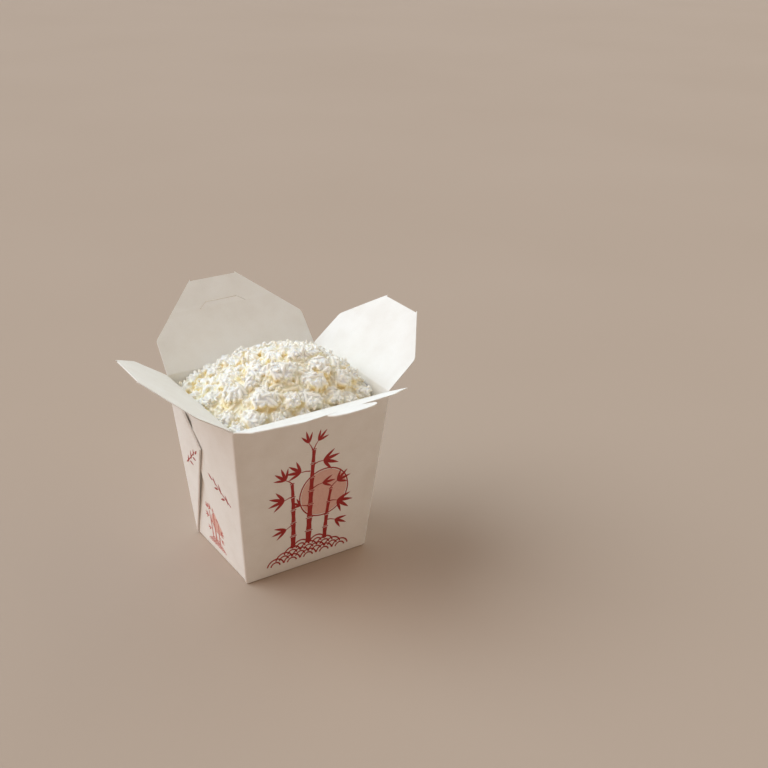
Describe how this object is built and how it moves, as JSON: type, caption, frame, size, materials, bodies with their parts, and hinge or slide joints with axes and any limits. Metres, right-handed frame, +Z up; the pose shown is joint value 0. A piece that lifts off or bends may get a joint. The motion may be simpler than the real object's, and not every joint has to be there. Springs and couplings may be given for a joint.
{
  "type": "carton of steamed rice",
  "caption": "Folded paperboard take-out carton heaped with steamed rice, its hinged lid flaps standing open round the rim.",
  "frame": {"origin": "centre of the carton's base, on its underside", "axes": "+Z up; the front panel faces -Y; +X to the right seen from the front"},
  "size_m": [0.1539, 0.1528, 0.1264],
  "materials": {
    "board": "satin",
    "rice": "satin"
  },
  "bodies": {
    "carton": {"carton": "board", "rice": "rice"},
    "flap_front": {"flap_front": "board"},
    "flap_back": {"flap_back": "board"},
    "flap_left": {"flap_left": "board"},
    "flap_right": {"flap_right": "board"}
  },
  "joints": [
    {"name": "front_crease", "type": "hinge", "parent": "carton", "child": "flap_front", "pos_m": [0, -0.0371, 0.0902], "axis": [1, 0, 0], "range_deg": [-64.2, 75.8]},
    {"name": "back_crease", "type": "hinge", "parent": "carton", "child": "flap_back", "pos_m": [0, 0.0371, 0.0902], "axis": [-1, 0, 0], "range_deg": [-42.9, 97.1]},
    {"name": "left_crease", "type": "hinge", "parent": "carton", "child": "flap_left", "pos_m": [-0.0433, 0, 0.0902], "axis": [0, -1, 0], "range_deg": [-84, 86]},
    {"name": "right_crease", "type": "hinge", "parent": "carton", "child": "flap_right", "pos_m": [0.0433, 0, 0.0902], "axis": [0, 1, 0], "range_deg": [-77.8, 92.2]}
  ]
}
